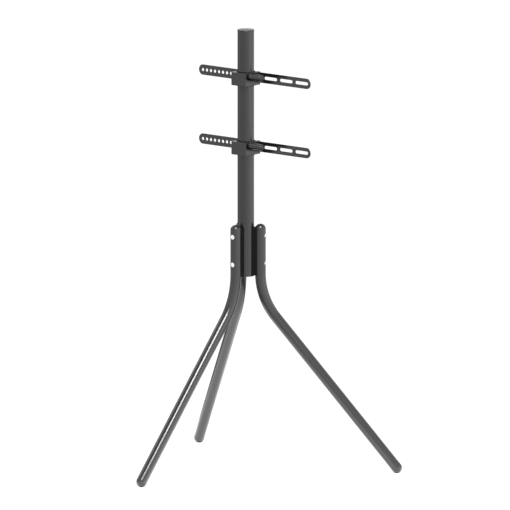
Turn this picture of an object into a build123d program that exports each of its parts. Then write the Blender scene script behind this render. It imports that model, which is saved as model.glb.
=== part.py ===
"""Tripod floor stand for a screen: a round mast on three bent tube legs, with two clamping brackets.

Millimetres. The origin is on the mast's axis at floor level, +Z is up, the bars run along X, and the
screen hangs on the -Y side. The rear leg points along +Y, the other two 120 degrees either side of it.
"""

from build123d import *
from math import cos, radians, sin, sqrt
import os

os.makedirs("parts", exist_ok=True)

# mast
stand_height = 1270.0
mast_diameter = 48.0
mast_wall = 2.0
mast_bottom = 556.5
mast_cap_rim = 0.4
mast_cap_height = 5.0
mast_cap_crown = 1.0
mast_cap_round = 1.2
plug_length = 18.0
plug_clearance = 0.1

# legs
leg_diameter = 31.0
leg_wall = 1.5
leg_gap = 3.3
leg_tube_top = 695.7
leg_bend_start = 564.5
leg_bend_radius = 195.0
leg_splay = 39.8
leg_angles = {"rear": 90.0, "left": 210.0, "right": 330.0}
dome_height = 13.0
dome_plug_length = 12.0
foot_collar = 9.0
foot_flat_radius = 4.0
foot_plug_length = 26.0

# joint between leg and mast
saddle_width = 24.6
saddle_reach = 9.5
saddle_top = 698.0
saddle_bottom = 559.5
saddle_clearance = 0.05
leg_screw_height = 634.3
leg_screw_spacing = 80.0
leg_screw_diameter = 8.0
leg_screw_length = 42.0
leg_screw_head_diameter = 13.4
leg_socket_flats = 5.0
leg_socket_depth = 3.4
sleeve_diameter = 14.0
sleeve_bore = 8.4
sleeve_clearance = 0.05
rivet_nut_diameter = 11.0
rivet_nut_length = 15.0
rivet_nut_flange_diameter = 14.0
rivet_nut_flange = 0.9
screw_clearance = 0.4
countersink_angle = 90.0

# brackets
bracket_heights = {"upper": 1128.0, "lower": 928.0}
collar_width = mast_diameter + 8.0
collar_depth = mast_diameter + 17.0
collar_height = 38.0
collar_corner = 3.0
collar_edge = 1.0
liner_wall = 1.4
liner_lip = 1.5
liner_lip_height = 0.9
liner_split = 1.5
running_clearance = 0.05
lip_clearance = 0.1

# bar and the two screws that hold it to the collar's raised seat
bar_length = 430.0
bar_width = 30.0
bar_thickness = 2.5
bar_edge = 0.4
bar_hole_diameter = 9.2
bar_hole_count = 8
bar_hole_first = 200.0
bar_hole_pitch = 15.5
bar_slot_count = 3
bar_slot_first = 181.5
bar_slot_pitch = 59.5
bar_slot_length = 48.5
seat_width = 40.0
seat_height = 26.0
seat_thickness = 4.0
bar_screw_spacing = 26.0
bar_screw_diameter = 5.0
bar_screw_head_diameter = 9.6
bar_screw_grip = 12.0
bar_screw_flats = 3.0
bar_screw_socket_depth = 1.6

# clamp
knob_diameter = 20.0
knob_length = 47.5
knob_offset = 0.3 * mast_diameter
knob_rise = 7.6
knob_gap = 0.8
knob_rim = 2.6
knob_seat_edge = 0.8
knob_recess_clearance = 0.3
knob_cap_diameter = 13.6
knob_cap_thickness = 2.0
knob_cap_crown = 0.8
clamp_thread_diameter = 8.0
bush_diameter = 14.0
bush_projection = 10.0
bush_seat_depth = 2.5
pad_diameter = 6.5
pad_tail = 2.0
pad_clearance = 0.2
stud_gap = 0.1
stud_length = 28.0

mast_radius = mast_diameter / 2
leg_radius = leg_diameter / 2
leg_inner_radius = leg_radius - leg_wall
leg_offset = mast_radius + leg_gap + leg_radius
screw_heights = [leg_screw_height - leg_screw_spacing / 2, leg_screw_height + leg_screw_spacing / 2]

# the leg's centreline: straight down, one bend outwards, then straight to the foot's round end
splay_sin = sin(radians(leg_splay))
splay_cos = cos(radians(leg_splay))
bend_end = (leg_offset + leg_bend_radius * (1 - splay_cos), leg_bend_start - leg_bend_radius * splay_sin)
foot_centre_height = sqrt(leg_radius**2 - foot_flat_radius**2)
leg_run = (bend_end[1] - foot_centre_height) / splay_cos
foot_centre = (bend_end[0] + leg_run * splay_sin, foot_centre_height)
tube_run = leg_run - foot_collar
tube_end = (bend_end[0] + tube_run * splay_sin, bend_end[1] - tube_run * splay_cos)

# a round hole through the leg's crown leaves the screw head level with the hole's lowest edge
sleeve_radius = sleeve_diameter / 2
head_level = leg_offset + sqrt(leg_radius**2 - (sleeve_radius + sleeve_clearance) ** 2)
sleeve_foot = leg_offset - sqrt(leg_inner_radius**2 - sleeve_radius**2) + sleeve_clearance

liner_inner_radius = mast_radius + running_clearance
liner_outer_radius = liner_inner_radius + liner_wall
bore_radius = liner_outer_radius + running_clearance
collar_front = -collar_depth / 2
bar_back = collar_front - seat_thickness
bar_front = bar_back - bar_thickness
collar_side = -collar_width / 2
bush_end = collar_side - bush_projection
pad_end = collar_side - pad_tail
thread_radius = clamp_thread_diameter / 2
pad_hole_radius = pad_diameter / 2 + running_clearance


def finish(piece, node):
    """Name a finished piece and write it as its node's file."""
    piece.part.label = node
    export_step(piece.part, f"parts/{node}.step")


def upright(angle):
    """Plane through the mast's axis: x is the distance outwards at this angle, y is the height."""
    out = (cos(radians(angle)), sin(radians(angle)), 0)
    return Plane(origin=(0, 0, 0), x_dir=out, z_dir=(out[1], -out[0], 0))


def outward(angle, distance, height):
    """Plane facing outwards at this angle, its origin at a distance from the mast's axis."""
    out = Vector(cos(radians(angle)), sin(radians(angle)), 0)
    return Plane(origin=out * distance + Vector(0, 0, height), x_dir=(-out.Y, out.X, 0), z_dir=out)


def side_plane(distance, height):
    """Plane facing -X on the clamp screw's axis, its origin at x = distance."""
    return Plane(origin=(distance, knob_offset, height + knob_rise), x_dir=(0, -1, 0), z_dir=(-1, 0, 0))


def countersunk_screws(faces, shank_diameter, head_diameter, length, flats, socket_depth):
    """Screws whose heads lie flush in the given planes, their shanks running back from them."""
    with BuildPart() as screws:
        for face in faces:
            with BuildSketch(face.offset(-length)):
                Circle(shank_diameter / 2)
            extrude(amount=length)
            with BuildSketch(face):
                Circle(head_diameter / 2)
            with BuildSketch(face.offset(-(head_diameter - shank_diameter) / 2)):
                Circle(shank_diameter / 2)
            loft()
            with BuildSketch(face.offset(-socket_depth)):
                RegularPolygon(flats / 2, 6, major_radius=False)
            extrude(amount=socket_depth, mode=Mode.SUBTRACT)
    return screws


# ---- mast ----

mast_tube_top = stand_height - mast_cap_height
mast_plug_radius = mast_radius - mast_wall - plug_clearance
nut_radius = rivet_nut_diameter / 2
nut_bore = leg_screw_diameter / 2 + running_clearance

with BuildPart() as mast:
    with BuildSketch(Plane.XY.offset(mast_bottom + mast_wall)):
        Circle(mast_radius)
        Circle(mast_radius - mast_wall, mode=Mode.SUBTRACT)
    extrude(amount=mast_tube_top - mast_bottom - mast_wall)
    for angle in leg_angles.values():
        for height in screw_heights:
            with Locations(outward(angle, mast_radius, height)):
                Hole(nut_radius + plug_clearance, depth=2 * mast_wall)
finish(mast, "mast_tube")

with BuildPart() as mast_top_cap:
    with BuildSketch(Plane.XZ):
        with BuildLine():
            Polyline(
                (0, stand_height),
                (0, mast_tube_top - plug_length),
                (mast_plug_radius, mast_tube_top - plug_length),
                (mast_plug_radius, mast_tube_top),
                (mast_radius + mast_cap_rim, mast_tube_top),
                (mast_radius + mast_cap_rim, stand_height - mast_cap_crown),
            )
            TangentArc((0, stand_height), (mast_radius + mast_cap_rim, stand_height - mast_cap_crown), tangent=(1, 0))
        make_face()
    revolve(axis=Axis.Z)
    fillet(mast_top_cap.edges().group_by(SortBy.LENGTH)[-1].sort_by(Axis.Z)[-1], mast_cap_round)
    with BuildSketch(Plane.XY.offset(mast_tube_top - plug_length)):
        Circle(mast_plug_radius - mast_wall)
    extrude(amount=plug_length - mast_wall, mode=Mode.SUBTRACT)
finish(mast_top_cap, "mast_top_cap")

with BuildPart() as mast_bottom_cap:
    with BuildSketch(Plane.XY.offset(mast_bottom)):
        Circle(mast_radius)
    extrude(amount=mast_wall)
    with BuildSketch(Plane.XY.offset(mast_bottom + mast_wall)):
        Circle(mast_plug_radius)
        Circle(mast_plug_radius - mast_wall, mode=Mode.SUBTRACT)
    extrude(amount=plug_length)
finish(mast_bottom_cap, "mast_bottom_cap")

with BuildPart() as mast_rivet_nuts:
    for angle in leg_angles.values():
        for height in screw_heights:
            with BuildSketch(outward(angle, mast_radius + rivet_nut_flange - rivet_nut_length, height)):
                Circle(nut_radius)
                Circle(nut_bore, mode=Mode.SUBTRACT)
            extrude(amount=rivet_nut_length)
            with BuildSketch(outward(angle, mast_radius, height)):
                Circle(rivet_nut_flange_diameter / 2)
                Circle(nut_radius, mode=Mode.SUBTRACT)
            extrude(amount=rivet_nut_flange)
finish(mast_rivet_nuts, "mast_rivet_nuts")

# ---- legs, each with its caps, saddle, sleeves and screws ----

leg_plug_radius = leg_inner_radius - plug_clearance

for side, angle in leg_angles.items():
    axis_foot = upright(angle).from_local_coords((leg_offset, 0, 0))
    lower_axis = upright(angle).from_local_coords((splay_sin, -splay_cos, 0))
    foot_plane = Plane(
        origin=upright(angle).from_local_coords((foot_centre[0], foot_centre[1], 0)),
        x_dir=lower_axis,
        z_dir=upright(angle).z_dir,
    )

    with BuildPart() as leg_tube:
        with BuildLine(upright(angle)):
            Line((leg_offset, leg_tube_top), (leg_offset, leg_bend_start))
            JernArc((leg_offset, leg_bend_start), (0, -1), leg_bend_radius, leg_splay)
            Line(bend_end, tube_end)
        with BuildSketch(Plane(origin=axis_foot + Vector(0, 0, leg_tube_top), z_dir=(0, 0, -1))):
            Circle(leg_radius)
            Circle(leg_inner_radius, mode=Mode.SUBTRACT)
        sweep()
        for height in screw_heights:
            with Locations(outward(angle, leg_offset + leg_radius, height)):
                Hole(sleeve_radius + sleeve_clearance, depth=leg_radius)
            with Locations(outward(angle, leg_offset - leg_radius, height)):
                Hole(sleeve_bore / 2, depth=leg_radius)
    finish(leg_tube, f"{side}_leg_tube")

    with BuildPart() as leg_cap:
        with BuildSketch(upright(angle)):
            with BuildLine():
                Polyline(
                    (leg_offset, leg_tube_top + dome_height),
                    (leg_offset, leg_tube_top - dome_plug_length),
                    (leg_offset + leg_plug_radius, leg_tube_top - dome_plug_length),
                    (leg_offset + leg_plug_radius, leg_tube_top),
                    (leg_offset + leg_radius, leg_tube_top),
                )
                TangentArc(
                    (leg_offset, leg_tube_top + dome_height),
                    (leg_offset + leg_radius, leg_tube_top),
                    tangent=(1, 0),
                )
            make_face()
        revolve(axis=Axis(axis_foot, (0, 0, 1)))
    finish(leg_cap, f"{side}_leg_cap")

    with BuildPart() as foot:
        with BuildSketch(foot_plane):
            with BuildLine():
                Polyline(
                    (leg_radius, 0),
                    (-foot_collar - foot_plug_length, 0),
                    (-foot_collar - foot_plug_length, leg_plug_radius),
                    (-foot_collar, leg_plug_radius),
                    (-foot_collar, leg_radius),
                    (0, leg_radius),
                )
                CenterArc((0, 0), leg_radius, 0, 90)
            make_face()
        revolve(axis=Axis(foot_plane.origin, lower_axis))
        split(bisect_by=Plane.XY, keep=Keep.TOP)
    finish(foot, f"{side}_leg_foot")

    with BuildPart() as saddle:
        with BuildSketch(Plane(origin=(0, 0, saddle_bottom), x_dir=upright(angle).x_dir)):
            with Locations((leg_offset - leg_radius + saddle_reach, 0)):
                Rectangle(2 * saddle_reach + leg_gap, saddle_width, align=(Align.MAX, Align.CENTER))
            Circle(mast_radius + saddle_clearance, mode=Mode.SUBTRACT)
            with Locations((leg_offset, 0)):
                Circle(leg_radius + saddle_clearance, mode=Mode.SUBTRACT)
        extrude(amount=saddle_top - saddle_bottom)
        for height in screw_heights:
            with Locations(outward(angle, mast_radius + leg_gap, height)):
                Hole(sleeve_bore / 2, depth=leg_gap)
            with Locations(outward(angle, mast_radius, height)):
                Hole(rivet_nut_flange_diameter / 2 + screw_clearance, depth=rivet_nut_flange + screw_clearance)
    finish(saddle, f"{side}_saddle")

    with BuildPart() as sleeves:
        for height in screw_heights:
            with BuildSketch(outward(angle, sleeve_foot, height)):
                Circle(sleeve_radius)
            extrude(amount=head_level - sleeve_foot)
            with Locations(outward(angle, head_level, height)):
                CounterSinkHole(
                    sleeve_bore / 2,
                    leg_screw_head_diameter / 2 + sleeve_clearance,
                    depth=head_level - sleeve_foot + 1,
                    counter_sink_angle=countersink_angle,
                )
    finish(sleeves, f"{side}_leg_sleeves")

    leg_screws = countersunk_screws(
        [outward(angle, head_level, height) for height in screw_heights],
        leg_screw_diameter,
        leg_screw_head_diameter,
        leg_screw_length,
        leg_socket_flats,
        leg_socket_depth,
    )
    finish(leg_screws, f"{side}_leg_screws")

# ---- brackets ----

bar_holes = [(bar_hole_first - i * bar_hole_pitch, 0) for i in range(bar_hole_count)]
bar_slots = [(-bar_slot_first + i * bar_slot_pitch, 0) for i in range(bar_slot_count)]
bar_screw_positions = [-bar_screw_spacing / 2, bar_screw_spacing / 2]
bar_screw_hole = bar_screw_diameter / 2 + running_clearance
grip_start = collar_side - knob_gap
grip_end = collar_side - knob_length
stud_start = pad_end - stud_gap
recess_end = bush_end - knob_gap

for place, height in bracket_heights.items():
    collar_bottom = height - collar_height / 2
    collar_top = height + collar_height / 2
    seat_plane = Plane(origin=(0, collar_front, height), x_dir=(1, 0, 0), z_dir=(0, -1, 0))
    bar_plane = seat_plane.offset(seat_thickness)
    bar_face = bar_plane.offset(bar_thickness)

    with BuildPart() as collar:
        with BuildSketch(Plane.XY.offset(collar_bottom)):
            RectangleRounded(collar_width, collar_depth, collar_corner)
        extrude(amount=collar_height)
        fillet(collar.edges().group_by(Axis.Z)[-1] + collar.edges().group_by(Axis.Z)[0], collar_edge)
        with BuildSketch(seat_plane):
            Rectangle(seat_width, seat_height)
        extrude(amount=seat_thickness)
        with Locations((0, 0, height)):
            Hole(bore_radius)
        with Locations(bar_plane):
            with Locations(*[(x, 0) for x in bar_screw_positions]):
                Hole(bar_screw_hole, depth=bar_screw_grip + screw_clearance)
        with Locations(side_plane(collar_side, height)):
            Hole(bush_diameter / 2 + running_clearance, depth=bush_seat_depth)
            Hole(pad_hole_radius, depth=collar_width / 4)
    finish(collar, f"{place}_collar")

    with BuildPart() as liner:
        with BuildSketch(Plane.XY.offset(collar_bottom - lip_clearance - liner_lip_height)):
            Circle(liner_outer_radius + liner_lip)
        extrude(amount=liner_lip_height)
        with BuildSketch(Plane.XY.offset(collar_bottom - lip_clearance)):
            Circle(liner_outer_radius)
        extrude(amount=collar_height + 2 * lip_clearance)
        with BuildSketch(Plane.XY.offset(collar_top + lip_clearance)):
            Circle(liner_outer_radius + liner_lip)
        extrude(amount=liner_lip_height)
        with Locations((0, 0, height)):
            Hole(liner_inner_radius)
            Box(
                liner_split,
                collar_depth / 2,
                2 * collar_height,
                align=(Align.CENTER, Align.MIN, Align.CENTER),
                mode=Mode.SUBTRACT,
            )
    finish(liner, f"{place}_liner")

    with BuildPart() as bar:
        with BuildSketch(bar_plane):
            SlotOverall(bar_length, bar_width)
            with Locations(*bar_holes):
                Circle(bar_hole_diameter / 2, mode=Mode.SUBTRACT)
            with Locations(*bar_slots):
                SlotOverall(bar_slot_length, bar_hole_diameter, mode=Mode.SUBTRACT)
        extrude(amount=bar_thickness)
        chamfer(bar.edges().group_by(Axis.Y)[0] + bar.edges().group_by(Axis.Y)[-1], bar_edge)
        with Locations(bar_face):
            with Locations(*[(x, 0) for x in bar_screw_positions]):
                CounterSinkHole(
                    bar_screw_hole,
                    bar_screw_head_diameter / 2 + running_clearance,
                    depth=bar_thickness + 1,
                    counter_sink_angle=countersink_angle,
                )
    finish(bar, f"{place}_bar")

    screws = countersunk_screws(
        [bar_face.shift_origin(bar_face.from_local_coords((x, 0, 0))) for x in bar_screw_positions],
        bar_screw_diameter,
        bar_screw_head_diameter,
        bar_thickness + bar_screw_grip,
        bar_screw_flats,
        bar_screw_socket_depth,
    )
    finish(screws, f"{place}_bar_screws")

    with BuildPart() as bush:
        with BuildSketch(side_plane(collar_side + bush_seat_depth, height)):
            Circle(bush_diameter / 2)
        extrude(amount=bush_seat_depth + bush_projection)
        with Locations(side_plane(collar_side, height)):
            Hole(pad_hole_radius, depth=2 * bush_projection)
        with BuildSketch(side_plane(pad_end, height)):
            Circle(thread_radius + running_clearance)
        extrude(amount=bush_projection, mode=Mode.SUBTRACT)
    finish(bush, f"{place}_clamp_bush")

    with BuildPart() as clamp_pad:
        with BuildSketch(side_plane(pad_end, height)):
            Circle(pad_diameter / 2)
        extrude(amount=pad_end)
        with BuildSketch(Plane.XY.offset(height - collar_height / 2)):
            Circle(liner_outer_radius + pad_clearance)
        extrude(amount=collar_height, mode=Mode.SUBTRACT)
    finish(clamp_pad, f"{place}_clamp_pad")

    with BuildPart() as stud:
        with BuildSketch(side_plane(stud_start, height)):
            Circle(thread_radius)
        extrude(amount=stud_length)
        chamfer(stud.edges().sort_by(Axis.X)[-1], bar_edge)
    finish(stud, f"{place}_clamp_stud")

    with BuildPart() as grip:
        with BuildSketch(side_plane(grip_start, height)):
            Circle(knob_diameter / 2)
        extrude(amount=grip_start - grip_end)
        fillet(grip.edges().sort_by(Axis.X)[0], knob_rim)
        fillet(grip.edges().sort_by(Axis.X)[-1], knob_seat_edge)
        with BuildSketch(side_plane(grip_start, height)):
            Circle(bush_diameter / 2 + knob_recess_clearance)
        extrude(amount=grip_start - recess_end, mode=Mode.SUBTRACT)
        with BuildSketch(side_plane(recess_end, height)):
            Circle(thread_radius + plug_clearance)
        extrude(amount=stud_length + stud_start - recess_end, mode=Mode.SUBTRACT)
        with BuildSketch(side_plane(grip_end + knob_cap_thickness, height)):
            Circle(knob_cap_diameter / 2 + plug_clearance)
        extrude(amount=knob_cap_thickness, mode=Mode.SUBTRACT)
    finish(grip, f"{place}_knob_grip")

    with BuildPart() as knob_cap:
        with BuildSketch(side_plane(grip_end + knob_cap_thickness, height)):
            Circle(knob_cap_diameter / 2)
        extrude(amount=knob_cap_thickness + knob_cap_crown)
        fillet(knob_cap.edges().sort_by(Axis.X)[0], knob_cap_crown)
    finish(knob_cap, f"{place}_knob_cap")
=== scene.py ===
"""Looks of a tripod floor stand with two screen brackets: coated steel, moulded plastic and plated screws.

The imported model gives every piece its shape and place. This script gives each of them its finish, cuts the
threads of the two clamp screws, and sets the stand on a pale studio floor. Lengths are in metres.
"""

import math

import bpy
import numpy as np
from bpy.props import FloatProperty, FloatVectorProperty, PointerProperty
from mathutils import Matrix, Vector


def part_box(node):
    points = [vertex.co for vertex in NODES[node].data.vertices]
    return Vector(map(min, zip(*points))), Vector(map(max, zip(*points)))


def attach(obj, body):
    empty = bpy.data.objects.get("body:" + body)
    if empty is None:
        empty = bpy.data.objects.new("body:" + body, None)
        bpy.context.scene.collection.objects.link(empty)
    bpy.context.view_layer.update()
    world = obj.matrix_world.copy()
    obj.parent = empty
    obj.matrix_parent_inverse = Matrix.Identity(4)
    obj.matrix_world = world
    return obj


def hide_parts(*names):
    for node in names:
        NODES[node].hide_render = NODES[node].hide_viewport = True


bl_info = {
    "name": "Tripod Screen Stand",
    "version": (1, 0, 0),
    "blender": (4, 5, 0),
    "location": "3D View > Sidebar > Screen Stand",
    "description": "Finishes a tripod floor stand: coated tubes, moulded caps, clamps and plated screws",
    "category": "Object",
}

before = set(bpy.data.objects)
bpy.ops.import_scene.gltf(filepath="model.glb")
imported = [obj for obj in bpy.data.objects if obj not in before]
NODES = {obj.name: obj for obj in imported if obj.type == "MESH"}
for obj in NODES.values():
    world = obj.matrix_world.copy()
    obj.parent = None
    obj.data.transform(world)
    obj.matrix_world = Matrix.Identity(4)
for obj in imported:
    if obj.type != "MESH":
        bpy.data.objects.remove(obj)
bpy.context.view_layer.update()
SIDES = ("rear", "left", "right")
PLACES = ("upper", "lower")

# studio, in metres
FLOOR_SIZE = 60.0
VIEW_HEIGHT = 0.66266
VIEW_RIGHT = 0.0262
VIEW_DOWN = 0.0459
SENSOR_WIDTH = 36.0
LAMP_TARGET = (0.0, 0.0, 0.65)
LAMP_DISTANCE = 4.0
KEY_DIRECTION = (-0.42, 0.43, 0.80)
KEY_SIZE = 1.5
SIDE_DIRECTION = (-0.977, -0.212, 0.1)
SIDE_SIZE = 1.6
POOL_DEPTH = 0.646
POOL_DIAMETER = 1.8
PANEL_DIRECTION = (0.7, 0.0, 0.714)


# ---------------------------------------------------------------- node helpers


def socket_value(node, name, value):
    """Set the value on a node's own input socket."""
    node.inputs[name].default_value = value


def shader_group(name, inputs, outputs):
    """A new shader node group with float inputs (name, default) and outputs (name, socket type)."""
    group = bpy.data.node_groups.new(name, "ShaderNodeTree")
    for label, default in inputs:
        made = group.interface.new_socket(name=label, in_out="INPUT", socket_type="NodeSocketFloat")
        made.default_value = default
    for label, kind in outputs:
        group.interface.new_socket(name=label, in_out="OUTPUT", socket_type=kind)
    return group, group.nodes.new("NodeGroupInput"), group.nodes.new("NodeGroupOutput")


def grain_group():
    """Fine grain: two noises in object space added together, the second four times finer and half as deep."""
    group, enter, leave = shader_group(
        "Fine Grain",
        [("Size", 0.001), ("Roughness", 0.5)],
        [("Height", "NodeSocketFloat")],
    )
    place = group.nodes.new("ShaderNodeTexCoord")
    per_metre = group.nodes.new("ShaderNodeMath")
    per_metre.operation = "DIVIDE"
    per_metre.inputs[0].default_value = 1.0
    finer = group.nodes.new("ShaderNodeMath")
    finer.operation = "MULTIPLY"
    finer.inputs[1].default_value = 4.0
    coarse_noise = group.nodes.new("ShaderNodeTexNoise")
    fine_noise = group.nodes.new("ShaderNodeTexNoise")
    blend = group.nodes.new("ShaderNodeMath")
    blend.operation = "MULTIPLY_ADD"
    blend.inputs[1].default_value = 0.5
    link = group.links.new
    link(enter.outputs["Size"], per_metre.inputs[1])
    link(per_metre.outputs[0], coarse_noise.inputs["Scale"])
    link(per_metre.outputs[0], finer.inputs[0])
    link(finer.outputs[0], fine_noise.inputs["Scale"])
    for noise in (coarse_noise, fine_noise):
        link(place.outputs["Object"], noise.inputs["Vector"])
        link(enter.outputs["Roughness"], noise.inputs["Roughness"])
    link(fine_noise.outputs["Fac"], blend.inputs[0])
    link(coarse_noise.outputs["Fac"], blend.inputs[2])
    link(blend.outputs[0], leave.inputs["Height"])
    return group


def handling_group():
    """Handling marks: broad soft patches, 0 to 1, from one noise passed through a smooth step."""
    group, enter, leave = shader_group(
        "Handling Marks",
        [("Size", 0.06), ("Low", 0.35), ("High", 0.7)],
        [("Mask", "NodeSocketFloat")],
    )
    place = group.nodes.new("ShaderNodeTexCoord")
    per_metre = group.nodes.new("ShaderNodeMath")
    per_metre.operation = "DIVIDE"
    per_metre.inputs[0].default_value = 1.0
    noise = group.nodes.new("ShaderNodeTexNoise")
    socket_value(noise, "Detail", 4.0)
    step = group.nodes.new("ShaderNodeMapRange")
    step.interpolation_type = "SMOOTHSTEP"
    link = group.links.new
    link(enter.outputs["Size"], per_metre.inputs[1])
    link(per_metre.outputs[0], noise.inputs["Scale"])
    link(place.outputs["Object"], noise.inputs["Vector"])
    link(noise.outputs["Fac"], step.inputs["Value"])
    link(enter.outputs["Low"], step.inputs["From Min"])
    link(enter.outputs["High"], step.inputs["From Max"])
    link(step.outputs["Result"], leave.inputs["Mask"])
    return group


def edge_group():
    """Worn edges: one minus the dot product of the true normal and the one rounded over Radius, stretched."""
    group, enter, leave = shader_group(
        "Worn Edges",
        [("Radius", 0.0008), ("Start", 0.04), ("Full", 0.25)],
        [("Mask", "NodeSocketFloat"), ("Normal", "NodeSocketVector")],
    )
    rounded = group.nodes.new("ShaderNodeBevel")
    rounded.samples = 4
    surface = group.nodes.new("ShaderNodeNewGeometry")
    dot = group.nodes.new("ShaderNodeVectorMath")
    dot.operation = "DOT_PRODUCT"
    turn = group.nodes.new("ShaderNodeMath")
    turn.operation = "SUBTRACT"
    turn.inputs[0].default_value = 1.0
    step = group.nodes.new("ShaderNodeMapRange")
    step.interpolation_type = "SMOOTHSTEP"
    link = group.links.new
    link(enter.outputs["Radius"], rounded.inputs["Radius"])
    link(rounded.outputs["Normal"], dot.inputs[0])
    link(surface.outputs["Normal"], dot.inputs[1])
    link(dot.outputs["Value"], turn.inputs[1])
    link(turn.outputs[0], step.inputs["Value"])
    link(enter.outputs["Start"], step.inputs["From Min"])
    link(enter.outputs["Full"], step.inputs["From Max"])
    link(step.outputs["Result"], leave.inputs["Mask"])
    link(rounded.outputs["Normal"], leave.inputs["Normal"])
    return group


def turned_group():
    """Fine rings: shells about the object's origin, from the distance over Pitch, bent by a noise."""
    group, enter, leave = shader_group(
        "Lathe Marks",
        [("Pitch", 0.0003)],
        [("Height", "NodeSocketFloat")],
    )
    place = group.nodes.new("ShaderNodeTexCoord")
    wave = group.nodes.new("ShaderNodeTexWave")
    wave.wave_type = "RINGS"
    wave.rings_direction = "SPHERICAL"
    socket_value(wave, "Distortion", 1.5)
    per_metre = group.nodes.new("ShaderNodeMath")
    per_metre.operation = "DIVIDE"
    per_metre.inputs[0].default_value = 0.3
    link = group.links.new
    link(enter.outputs["Pitch"], per_metre.inputs[1])
    link(per_metre.outputs[0], wave.inputs["Scale"])
    link(place.outputs["Object"], wave.inputs["Vector"])
    link(wave.outputs["Fac"], leave.inputs["Height"])
    return group


GROUPS = {}


def group_node(material, key, **values):
    """Add one of the shared groups to a material, with values for its inputs."""
    makers = {"grain": grain_group, "handling": handling_group, "edge": edge_group, "turned": turned_group}
    if key not in GROUPS:
        GROUPS[key] = makers[key]()
    node = material.node_tree.nodes.new("ShaderNodeGroup")
    node.node_tree = GROUPS[key]
    for name, value in values.items():
        socket_value(node, name, value)
    return node


def new_material(name):
    """An empty node material with its Principled shader and output joined."""
    material = bpy.data.materials.new(name)
    material.use_nodes = True
    nodes = material.node_tree.nodes
    nodes.clear()
    shader = nodes.new("ShaderNodeBsdfPrincipled")
    output = nodes.new("ShaderNodeOutputMaterial")
    material.node_tree.links.new(shader.outputs["BSDF"], output.inputs["Surface"])
    return material, shader


def mixed_colour(material, factor, first, second):
    """A colour mix between two plain colours, driven by a mask."""
    mix = material.node_tree.nodes.new("ShaderNodeMix")
    mix.data_type = "RGBA"
    mix.inputs["A"].default_value = (*first, 1.0)
    mix.inputs["B"].default_value = (*second, 1.0)
    material.node_tree.links.new(factor, mix.inputs["Factor"])
    return mix.outputs["Result"]


def ranged(material, value, low, high):
    """A value from 0 to 1 spread over low to high."""
    spread = material.node_tree.nodes.new("ShaderNodeMapRange")
    socket_value(spread, "To Min", low)
    socket_value(spread, "To Max", high)
    material.node_tree.links.new(value, spread.inputs["Value"])
    return spread.outputs["Result"]


def add_bump(material, shader, height, distance, strength=1.0, under=None):
    """Bump from a height, over an optional rounded normal, into the shader's normal."""
    bump = material.node_tree.nodes.new("ShaderNodeBump")
    socket_value(bump, "Strength", strength)
    socket_value(bump, "Distance", distance)
    material.node_tree.links.new(height, bump.inputs["Height"])
    if under is not None:
        material.node_tree.links.new(under, bump.inputs["Normal"])
    material.node_tree.links.new(bump.outputs["Normal"], shader.inputs["Normal"])


def scaled(colour, factor):
    """A colour made lighter or darker."""
    return tuple(min(1.0, part * factor) for part in colour)


# ---------------------------------------------------------------- finishes


def powder_coat(name, colour, roughness, grain=0.0011, relief=0.000004):
    """Baked powder coat: orange-peel grain, paler edges where the coat is thin, and faint handling marks."""
    material, shader = new_material(name)
    peel = group_node(material, "grain", Size=grain, Roughness=0.55)
    marks = group_node(material, "handling", Size=0.09)
    edges = group_node(material, "edge", Radius=0.0006)
    link = material.node_tree.links.new
    body = mixed_colour(material, marks.outputs["Mask"], colour, scaled(colour, 1.12))
    tint = material.node_tree.nodes.new("ShaderNodeMix")
    tint.data_type = "RGBA"
    tint.inputs["B"].default_value = (*scaled(colour, 1.7), 1.0)
    link(edges.outputs["Mask"], tint.inputs["Factor"])
    link(body, tint.inputs["A"])
    link(tint.outputs["Result"], shader.inputs["Base Color"])
    link(ranged(material, marks.outputs["Mask"], roughness, roughness + 0.06), shader.inputs["Roughness"])
    add_bump(material, shader, peel.outputs["Height"], relief, under=edges.outputs["Normal"])
    socket_value(shader, "IOR", 1.5)
    return material


def moulded_plastic(name, colour, roughness, grain=0.0004, relief=0.00001, sheen=0.5):
    """Moulded plastic: fine spark-eroded grain, soft edges, and patches dulled by hands."""
    material, shader = new_material(name)
    texture = group_node(material, "grain", Size=grain, Roughness=0.6)
    marks = group_node(material, "handling", Size=0.03)
    edges = group_node(material, "edge", Radius=0.0005)
    link = material.node_tree.links.new
    body = mixed_colour(material, marks.outputs["Mask"], colour, scaled(colour, 1.15))
    link(body, shader.inputs["Base Color"])
    link(ranged(material, marks.outputs["Mask"], roughness, roughness + 0.08), shader.inputs["Roughness"])
    add_bump(material, shader, texture.outputs["Height"], relief, under=edges.outputs["Normal"])
    socket_value(shader, "IOR", 1.49)
    socket_value(shader, "Specular IOR Level", sheen)
    return material


def plated_metal(name, colour, roughness, pitch=0.0003, relief=0.000004):
    """Plated or plain metal: fine rings, clouded plating and softened edges."""
    material, shader = new_material(name)
    rings = group_node(material, "turned", Pitch=pitch)
    clouds = group_node(material, "handling", Size=0.008)
    edges = group_node(material, "edge", Radius=0.0003)
    link = material.node_tree.links.new
    body = mixed_colour(material, clouds.outputs["Mask"], colour, scaled(colour, 0.86))
    link(body, shader.inputs["Base Color"])
    link(ranged(material, clouds.outputs["Mask"], roughness, roughness + 0.12), shader.inputs["Roughness"])
    add_bump(material, shader, rings.outputs["Height"], relief, under=edges.outputs["Normal"])
    socket_value(shader, "Metallic", 1.0)
    return material


def paint(material, *nodes):
    """Give a material to CAD nodes, in place of the plain one."""
    for node in nodes:
        mesh = NODES[node].data
        mesh.materials.clear()
        mesh.materials.append(material)


# ---------------------------------------------------------------- surfaces


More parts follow.
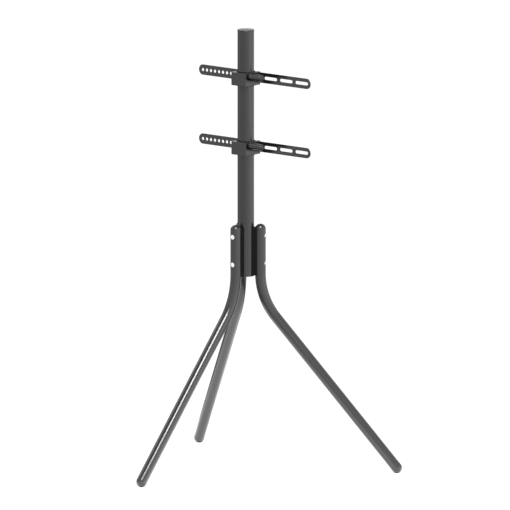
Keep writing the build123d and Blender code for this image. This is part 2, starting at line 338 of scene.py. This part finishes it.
def grid_mesh(name, points, uv):
    """A closed tube from an array of rings (rings, around, 3), each end drawn in to a point at its middle.

    Faces join each ring to the next, and the first and last rings to their pole; uv has one more column than
    the rings have points, so the seam's last column meets its first.
    """
    rings, around, _ = points.shape
    poles = np.stack([points[0].mean(axis=0), points[-1].mean(axis=0)])
    verts = np.concatenate([points.reshape(-1, 3), poles])
    ring = np.arange(rings - 1)[:, None] * around
    here = np.arange(around)[None, :]
    after = (here + 1) % around
    quads = np.stack([ring + here, ring + after, ring + around + after, ring + around + here], axis=-1)
    quads = quads.reshape(-1, 4)
    first, last = rings * around, rings * around + 1
    here, after = here[0], after[0]
    start = np.stack([np.full(around, first), after, here], axis=-1)
    base = (rings - 1) * around
    end = np.stack([np.full(around, last), base + here, base + after], axis=-1)
    mesh = bpy.data.meshes.new(name)
    mesh.from_pydata(verts, [], quads.tolist() + start.tolist() + end.tolist())
    layer = mesh.uv_layers.new(name="Surface")
    r = np.arange(rings - 1)[:, None] + np.zeros((1, around), int)
    c = np.zeros((rings - 1, 1), int) + np.arange(around)[None, :]
    corners = [(r, c), (r, c + 1), (r + 1, c + 1), (r + 1, c)]
    body = np.stack([uv[i, j] for i, j in corners], axis=2).reshape(-1, 2)
    c = np.arange(around)
    cap = np.concatenate(
        [
            np.stack([uv[0, c], uv[0, c + 1], uv[0, c]], axis=1).reshape(-1, 2),
            np.stack([uv[-1, c], uv[-1, c], uv[-1, c + 1]], axis=1).reshape(-1, 2),
        ]
    )
    layer.data.foreach_set("uv", np.concatenate([body, cap]).astype(np.float32).ravel())
    mesh.polygons.foreach_set("use_smooth", np.ones(len(mesh.polygons), bool))
    mesh.update()
    made = bpy.data.objects.new(name, mesh)
    bpy.context.scene.collection.objects.link(made)
    return made


def threaded_rod(name, start, length, radius, pitch, depth, around=48, per_turn=10):
    """A rod along -X with a right-hand thread.

    At angle a and distance s from its start the radius is the outer radius less depth times a triangle wave
    of (s / pitch - a / one turn). The wave fades to a plain chamfer over the last pitch at either end.
    """
    count = int(length / pitch * per_turn) + 1
    s = np.linspace(0.0, length, count)[:, None]
    a = np.linspace(0.0, 2 * np.pi, around, endpoint=False)[None, :]
    phase = (s / pitch - a / (2 * np.pi)) % 1.0
    wave = np.clip(np.abs(2.0 * phase - 1.0) * 1.25 - 0.125, 0.0, 1.0)
    fade = np.clip(np.minimum(s, length - s) / pitch, 0.0, 1.0)
    r = radius - depth * (1.0 - fade) - depth * wave * fade
    x = start.x - s + 0.0 * a
    y = start.y - r * np.sin(a)
    z = start.z + r * np.cos(a)
    points = np.stack([x, y, z], axis=-1)
    u = np.linspace(0.0, 1.0, around + 1)[None, :] * 2 * np.pi * radius + 0.0 * s
    v = s + 0.0 * u
    return grid_mesh(name, points, np.stack([u, v], axis=-1))


# ---------------------------------------------------------------- settings


class ScreenStandFinish(bpy.types.PropertyGroup):
    """Colours and gloss of the stand's own surfaces."""

    coat: FloatVectorProperty(
        name="Powder coat", description="Colour of the coated steel", subtype="COLOR", size=3, min=0, max=1,
        default=(0.005, 0.005, 0.0053),
    )
    coat_roughness: FloatProperty(
        name="Coat roughness", description="Lower is glossier", default=0.22, min=0, max=1, subtype="FACTOR",
    )
    plastic: FloatVectorProperty(
        name="Caps and feet", description="Colour of the moulded caps and feet", subtype="COLOR", size=3,
        min=0, max=1, default=(0.007, 0.007, 0.0074),
    )
    black: FloatVectorProperty(
        name="Black plastic", description="Colour of the saddles, liners and knobs", subtype="COLOR", size=3,
        min=0, max=1, default=(0.003, 0.003, 0.0033),
    )


class ScreenStandThread(bpy.types.PropertyGroup):
    """The thread cut on each clamp screw."""

    pitch: FloatProperty(
        name="Pitch", description="Advance in one turn", default=0.00125, min=0.0005, max=0.003,
        subtype="DISTANCE", unit="LENGTH",
    )
    depth: FloatProperty(
        name="Depth", description="Crest to root", default=0.00065, min=0.0001, max=0.001,
        subtype="DISTANCE", unit="LENGTH",
    )


class ScreenStandStudio(bpy.types.PropertyGroup):
    """Camera, floor and lamps."""

    azimuth: FloatProperty(
        name="Azimuth", description="Way round the stand that the camera stands", subtype="ANGLE",
        default=math.radians(222.26),
    )
    elevation: FloatProperty(
        name="Elevation", description="Height angle of the camera", subtype="ANGLE",
        default=math.radians(9.29),
    )
    distance: FloatProperty(
        name="Distance", description="Camera to mast", default=60.0, subtype="DISTANCE", unit="LENGTH",
    )
    width: FloatProperty(
        name="Width", description="Width of the view at the mast", default=1.4586, subtype="DISTANCE",
        unit="LENGTH",
    )
    around: FloatProperty(name="Around", description="Strength of the studio's walls", default=2.15, min=0)
    tilt: FloatProperty(
        name="Tilt", description="How much stronger than average the right wall is", default=0.5, min=0,
    )
    backdrop: FloatProperty(
        name="Backdrop", description="Strength of the wall behind the stand", default=1.5, min=0,
    )
    ceiling: FloatProperty(name="Ceiling", description="Strength of the light from above", default=0.5, min=0)
    below: FloatProperty(
        name="Below", description="Strength of the light below the walls", default=0.25, min=0,
    )
    fill: FloatProperty(
        name="Fill", description="Strength of the soft panel high on the left", default=3.0, min=0,
    )
    pool: FloatProperty(
        name="Floor pool", description="Power of the lit floor round the stand", default=20.0, min=0,
        unit="POWER",
    )
    key: FloatProperty(
        name="Key lamp", description="Power of the high lamp", default=250.0, min=0, unit="POWER",
    )
    side: FloatProperty(
        name="Side lamp", description="Power of the side lamp", default=10.0, min=0, unit="POWER",
    )


# ---------------------------------------------------------------- operators


class SCREENSTAND_OT_tubes(bpy.types.Operator):
    """Coat the mast and the leg tubes."""

    bl_idname = "screenstand.tubes"
    bl_label = "Mast and Leg Tubes"

    def execute(self, context):
        finish = context.scene.screen_stand_finish
        colour = tuple(finish.coat)
        paint(powder_coat("Mast Coat", colour, finish.coat_roughness), "mast_tube")
        # Painted light: the leg tubes get a copy of the mast's coat at twice its colour. This lighter copy
        # stands in for the light that the lit floor throws up onto them.
        lit_copy_legs = powder_coat("Leg Coat Lit Copy", scaled(colour, 2.0), 0.85 * finish.coat_roughness)
        paint(lit_copy_legs, *(f"{side}_leg_tube" for side in SIDES))
        return {"FINISHED"}


class SCREENSTAND_OT_caps(bpy.types.Operator):
    """Finish the caps that close the tubes, and the feet."""

    bl_idname = "screenstand.caps"
    bl_label = "Caps and Feet"

    def execute(self, context):
        colour = tuple(context.scene.screen_stand_finish.plastic)
        caps = moulded_plastic("Cap Plastic", colour, 0.24)
        feet = moulded_plastic("Foot Plastic", scaled(colour, 1.5), 0.26, grain=0.0006, relief=0.00003)
        paint(caps, "mast_top_cap", "mast_bottom_cap", *(f"{side}_leg_cap" for side in SIDES))
        paint(feet, *(f"{side}_leg_foot" for side in SIDES))
        return {"FINISHED"}


class SCREENSTAND_OT_saddles(bpy.types.Operator):
    """Finish the saddles between the mast and the legs."""

    bl_idname = "screenstand.saddles"
    bl_label = "Saddles"

    def execute(self, context):
        black = tuple(context.scene.screen_stand_finish.black)
        plastic = moulded_plastic("Saddle Plastic", black, 0.5, sheen=0.06)
        paint(plastic, *(f"{side}_saddle" for side in SIDES))
        return {"FINISHED"}


class SCREENSTAND_OT_fixings(bpy.types.Operator):
    """Finish the screws, sleeves and rivet nuts that hold the legs."""

    bl_idname = "screenstand.fixings"
    bl_label = "Leg Fixings"

    def execute(self, context):
        bright = plated_metal("Bright Nickel", (0.86, 0.86, 0.87), 0.2)
        zinc = plated_metal("Zinc Plate", (0.62, 0.63, 0.65), 0.32)
        paint(bright, *(f"{side}_leg_screws" for side in SIDES))
        paint(zinc, "mast_rivet_nuts", *(f"{side}_leg_sleeves" for side in SIDES))
        return {"FINISHED"}


class SCREENSTAND_OT_brackets(bpy.types.Operator):
    """Coat the collars and bars, and finish their liners and screws."""

    bl_idname = "screenstand.brackets"
    bl_label = "Brackets"

    def execute(self, context):
        finish = context.scene.screen_stand_finish
        coat = tuple(finish.coat)
        cast = powder_coat("Collar Coat", coat, finish.coat_roughness, grain=0.0016, relief=0.00001)
        flat = powder_coat("Bar Coat", coat, 0.65 * finish.coat_roughness)
        liner = moulded_plastic("Liner Nylon", tuple(finish.black), 0.5, sheen=0.06)
        oxide = plated_metal("Black Oxide", (0.07, 0.07, 0.075), 0.4)
        paint(cast, *(f"{place}_collar" for place in PLACES))
        paint(flat, *(f"{place}_bar" for place in PLACES))
        paint(liner, *(f"{place}_liner" for place in PLACES))
        paint(oxide, *(f"{place}_{piece}" for place in PLACES for piece in ("bar_screws", "clamp_bush")))
        return {"FINISHED"}


class SCREENSTAND_OT_clamps(bpy.types.Operator):
    """Finish the knobs and pads, and cut the clamp screws' threads."""

    bl_idname = "screenstand.clamps"
    bl_label = "Clamps"

    def execute(self, context):
        thread = context.scene.screen_stand_thread
        black = tuple(context.scene.screen_stand_finish.black)
        grip = moulded_plastic("Knob Plastic", black, 0.16)
        button = moulded_plastic("Knob Cap Plastic", scaled(black, 2.0), 0.2)
        brass = plated_metal("Turned Brass", (0.75, 0.55, 0.25), 0.3)
        steel = plated_metal("Clamp Screw Steel", (0.55, 0.56, 0.58), 0.28)
        for place in PLACES:
            paint(grip, f"{place}_knob_grip")
            paint(button, f"{place}_knob_cap")
            paint(brass, f"{place}_clamp_pad")
            low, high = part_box(f"{place}_clamp_stud")
            middle = (Vector(low) + Vector(high)) / 2
            rod = threaded_rod(
                f"{place}_clamp_thread",
                Vector((high[0], middle.y, middle.z)),
                high[0] - low[0],
                (high[2] - low[2]) / 2,
                thread.pitch,
                thread.depth,
            )
            rod.data.materials.append(steel)
            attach(rod, f"{place}_knob")
            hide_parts(f"{place}_clamp_stud")
        return {"FINISHED"}


def aimed(name, data, location, target):
    """A camera or lamp at a place, looking at a target."""
    made = bpy.data.objects.new(name, data)
    bpy.context.scene.collection.objects.link(made)
    made.location = location
    made.rotation_euler = (Vector(location) - Vector(target)).to_track_quat("Z", "Y").to_euler()
    return made


def soft_lamp(name, direction, distance, size, power, shape="SQUARE"):
    """An area lamp, a distance from the stand in a given direction."""
    data = bpy.data.lights.new(name, "AREA")
    data.shape = shape
    data.size = size
    data.energy = power
    place = Vector(LAMP_TARGET) + Vector(direction).normalized() * distance
    return aimed(name, data, place, LAMP_TARGET)


def along(tree, place, direction):
    """How far the way looked in points along a direction, from -1 to 1."""
    dot = tree.nodes.new("ShaderNodeVectorMath")
    dot.operation = "DOT_PRODUCT"
    dot.inputs[1].default_value = direction
    tree.links.new(place.outputs["Generated"], dot.inputs[0])
    return dot.outputs["Value"]


def ramped(tree, value, start, stop, low=0.0, high=1.0):
    """A smooth change from low to high as the value goes from start to stop."""
    ramp = tree.nodes.new("ShaderNodeMapRange")
    ramp.interpolation_type = "SMOOTHSTEP"
    for name, number in (("From Min", start), ("From Max", stop), ("To Min", low), ("To Max", high)):
        socket_value(ramp, name, number)
    tree.links.new(value, ramp.inputs["Value"])
    return ramp.outputs["Result"]


def blend(tree, factor, first, second):
    """A mix of a linked value with a second one, or with a number."""
    mix = tree.nodes.new("ShaderNodeMix")
    tree.links.new(factor, mix.inputs["Factor"])
    tree.links.new(first, mix.inputs["A"])
    if isinstance(second, float):
        socket_value(mix, "B", second)
    else:
        tree.links.new(second, mix.inputs["B"])
    return mix.outputs["Result"]


def lay_floor():
    """A pale floor that the camera sees; the lit pool and the walls stand in for it in the coat's gloss."""
    bpy.ops.mesh.primitive_plane_add(size=FLOOR_SIZE, location=(0, 0, 0))
    floor = bpy.context.object
    floor.name = "studio_floor"
    material, shader = new_material("Pale Floor")
    socket_value(shader, "Base Color", (0.15, 0.15, 0.15, 1.0))
    socket_value(shader, "Roughness", 0.9)
    socket_value(shader, "Specular IOR Level", 0.0)
    socket_value(shader, "Emission Color", (1.0, 1.0, 1.0, 1.0))
    socket_value(shader, "Emission Strength", 0.9)
    floor.data.materials.append(material)
    floor.visible_diffuse = False
    floor.visible_glossy = False


def light_walls(studio, to_right, to_back):
    """The studio's walls, ceiling and soft panel as the world's light; the camera itself sees plain white."""
    world = bpy.data.worlds.new("Studio Light")
    bpy.context.scene.world = world
    world.use_nodes = True
    tree = world.node_tree
    nodes, link = tree.nodes, tree.links.new
    nodes.clear()
    place = nodes.new("ShaderNodeTexCoord")
    sideways = along(tree, place, to_right)
    height = along(tree, place, (0.0, 0.0, 1.0))
    wall = ramped(tree, sideways, -1.0, 1.0, studio.around - studio.tilt, studio.around + studio.tilt)
    backdrop = ramped(tree, sideways, -0.95, 0.25, 0.2 * studio.backdrop, studio.backdrop)
    behind = ramped(tree, along(tree, place, to_back), 0.2, 0.7)
    above = ramped(tree, height, 0.5, 0.8)
    panel = ramped(tree, along(tree, place, PANEL_DIRECTION), 0.91, 0.96)
    below = ramped(tree, height, -0.42, -0.2, 1.0, 0.0)
    strength = blend(tree, behind, wall, backdrop)
    strength = blend(tree, above, strength, studio.ceiling)
    strength = blend(tree, panel, strength, studio.fill)
    strength = blend(tree, below, strength, studio.below)
    light = nodes.new("ShaderNodeBackground")
    white = nodes.new("ShaderNodeBackground")
    path = nodes.new("ShaderNodeLightPath")
    mix = nodes.new("ShaderNodeMixShader")
    output = nodes.new("ShaderNodeOutputWorld")
    link(strength, light.inputs["Strength"])
    socket_value(white, "Color", (1.0, 1.0, 1.0, 1.0))
    link(path.outputs["Is Camera Ray"], mix.inputs[0])
    link(light.outputs[0], mix.inputs[1])
    link(white.outputs[0], mix.inputs[2])
    link(mix.outputs[0], output.inputs["Surface"])


def place_camera(studio, to_right):
    """The camera, far off with a long lens, so that the view is nearly parallel."""
    azimuth, elevation = studio.azimuth, studio.elevation
    back = Vector(
        (
            math.sin(azimuth) * math.cos(elevation),
            -math.cos(azimuth) * math.cos(elevation),
            math.sin(elevation),
        )
    )
    up = back.cross(to_right)
    centre = Vector((0.0, 0.0, VIEW_HEIGHT)) + to_right * VIEW_RIGHT - up * VIEW_DOWN
    data = bpy.data.cameras.new("Camera")
    data.sensor_width = SENSOR_WIDTH
    data.lens = data.sensor_width * studio.distance / studio.width
    data.clip_end = 4 * studio.distance
    camera = bpy.data.objects.new("Camera", data)
    bpy.context.scene.collection.objects.link(camera)
    camera.matrix_world = Matrix.Translation(centre + back * studio.distance) @ Matrix(
        (to_right, up, back)
    ).transposed().to_4x4()
    bpy.context.scene.camera = camera


class SCREENSTAND_OT_studio(bpy.types.Operator):
    """Set the pale floor, the walls, the lamps and the camera."""

    bl_idname = "screenstand.studio"
    bl_label = "Studio"

    def execute(self, context):
        studio = context.scene.screen_stand_studio
        to_right = Vector((math.cos(studio.azimuth), math.sin(studio.azimuth), 0.0))
        to_back = Vector((-math.sin(studio.azimuth), math.cos(studio.azimuth), 0.0))
        lay_floor()
        light_walls(studio, to_right, to_back)
        pool = soft_lamp("floor_pool", (0.0, 0.0, -1.0), POOL_DEPTH, POOL_DIAMETER, studio.pool, "DISK")
        pool.visible_camera = False
        soft_lamp("key_lamp", KEY_DIRECTION, LAMP_DISTANCE, KEY_SIZE, studio.key)
        soft_lamp("side_lamp", SIDE_DIRECTION, LAMP_DISTANCE, SIDE_SIZE, studio.side)
        place_camera(studio, to_right)
        context.scene.view_settings.view_transform = "Standard"
        return {"FINISHED"}


class SCREENSTAND_PT_panel(bpy.types.Panel):
    """Buttons and settings of the stand."""

    bl_label = "Screen Stand"
    bl_space_type = "VIEW_3D"
    bl_region_type = "UI"
    bl_category = "Screen Stand"

    def draw(self, context):
        for operator in OPERATORS:
            self.layout.operator(operator.bl_idname)
        for settings in (
            context.scene.screen_stand_finish,
            context.scene.screen_stand_thread,
            context.scene.screen_stand_studio,
        ):
            box = self.layout.box()
            for name in settings.__annotations__:
                box.prop(settings, name)


OPERATORS = (
    SCREENSTAND_OT_tubes,
    SCREENSTAND_OT_caps,
    SCREENSTAND_OT_saddles,
    SCREENSTAND_OT_fixings,
    SCREENSTAND_OT_brackets,
    SCREENSTAND_OT_clamps,
    SCREENSTAND_OT_studio,
)
CLASSES = (ScreenStandFinish, ScreenStandThread, ScreenStandStudio, *OPERATORS, SCREENSTAND_PT_panel)


def register():
    """Register every class and hang the settings on the scene."""
    for cls in CLASSES:
        bpy.utils.register_class(cls)
    bpy.types.Scene.screen_stand_finish = PointerProperty(type=ScreenStandFinish)
    bpy.types.Scene.screen_stand_thread = PointerProperty(type=ScreenStandThread)
    bpy.types.Scene.screen_stand_studio = PointerProperty(type=ScreenStandStudio)


def unregister():
    """Take the settings off the scene and unregister every class."""
    del bpy.types.Scene.screen_stand_studio
    del bpy.types.Scene.screen_stand_thread
    del bpy.types.Scene.screen_stand_finish
    for cls in reversed(CLASSES):
        bpy.utils.unregister_class(cls)


def main():
    """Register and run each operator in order."""
    register()
    for operator in OPERATORS:
        family, action = operator.bl_idname.split(".")
        getattr(getattr(bpy.ops, family), action)()
    bpy.context.view_layer.update()


if __name__ == "__main__":
    main()
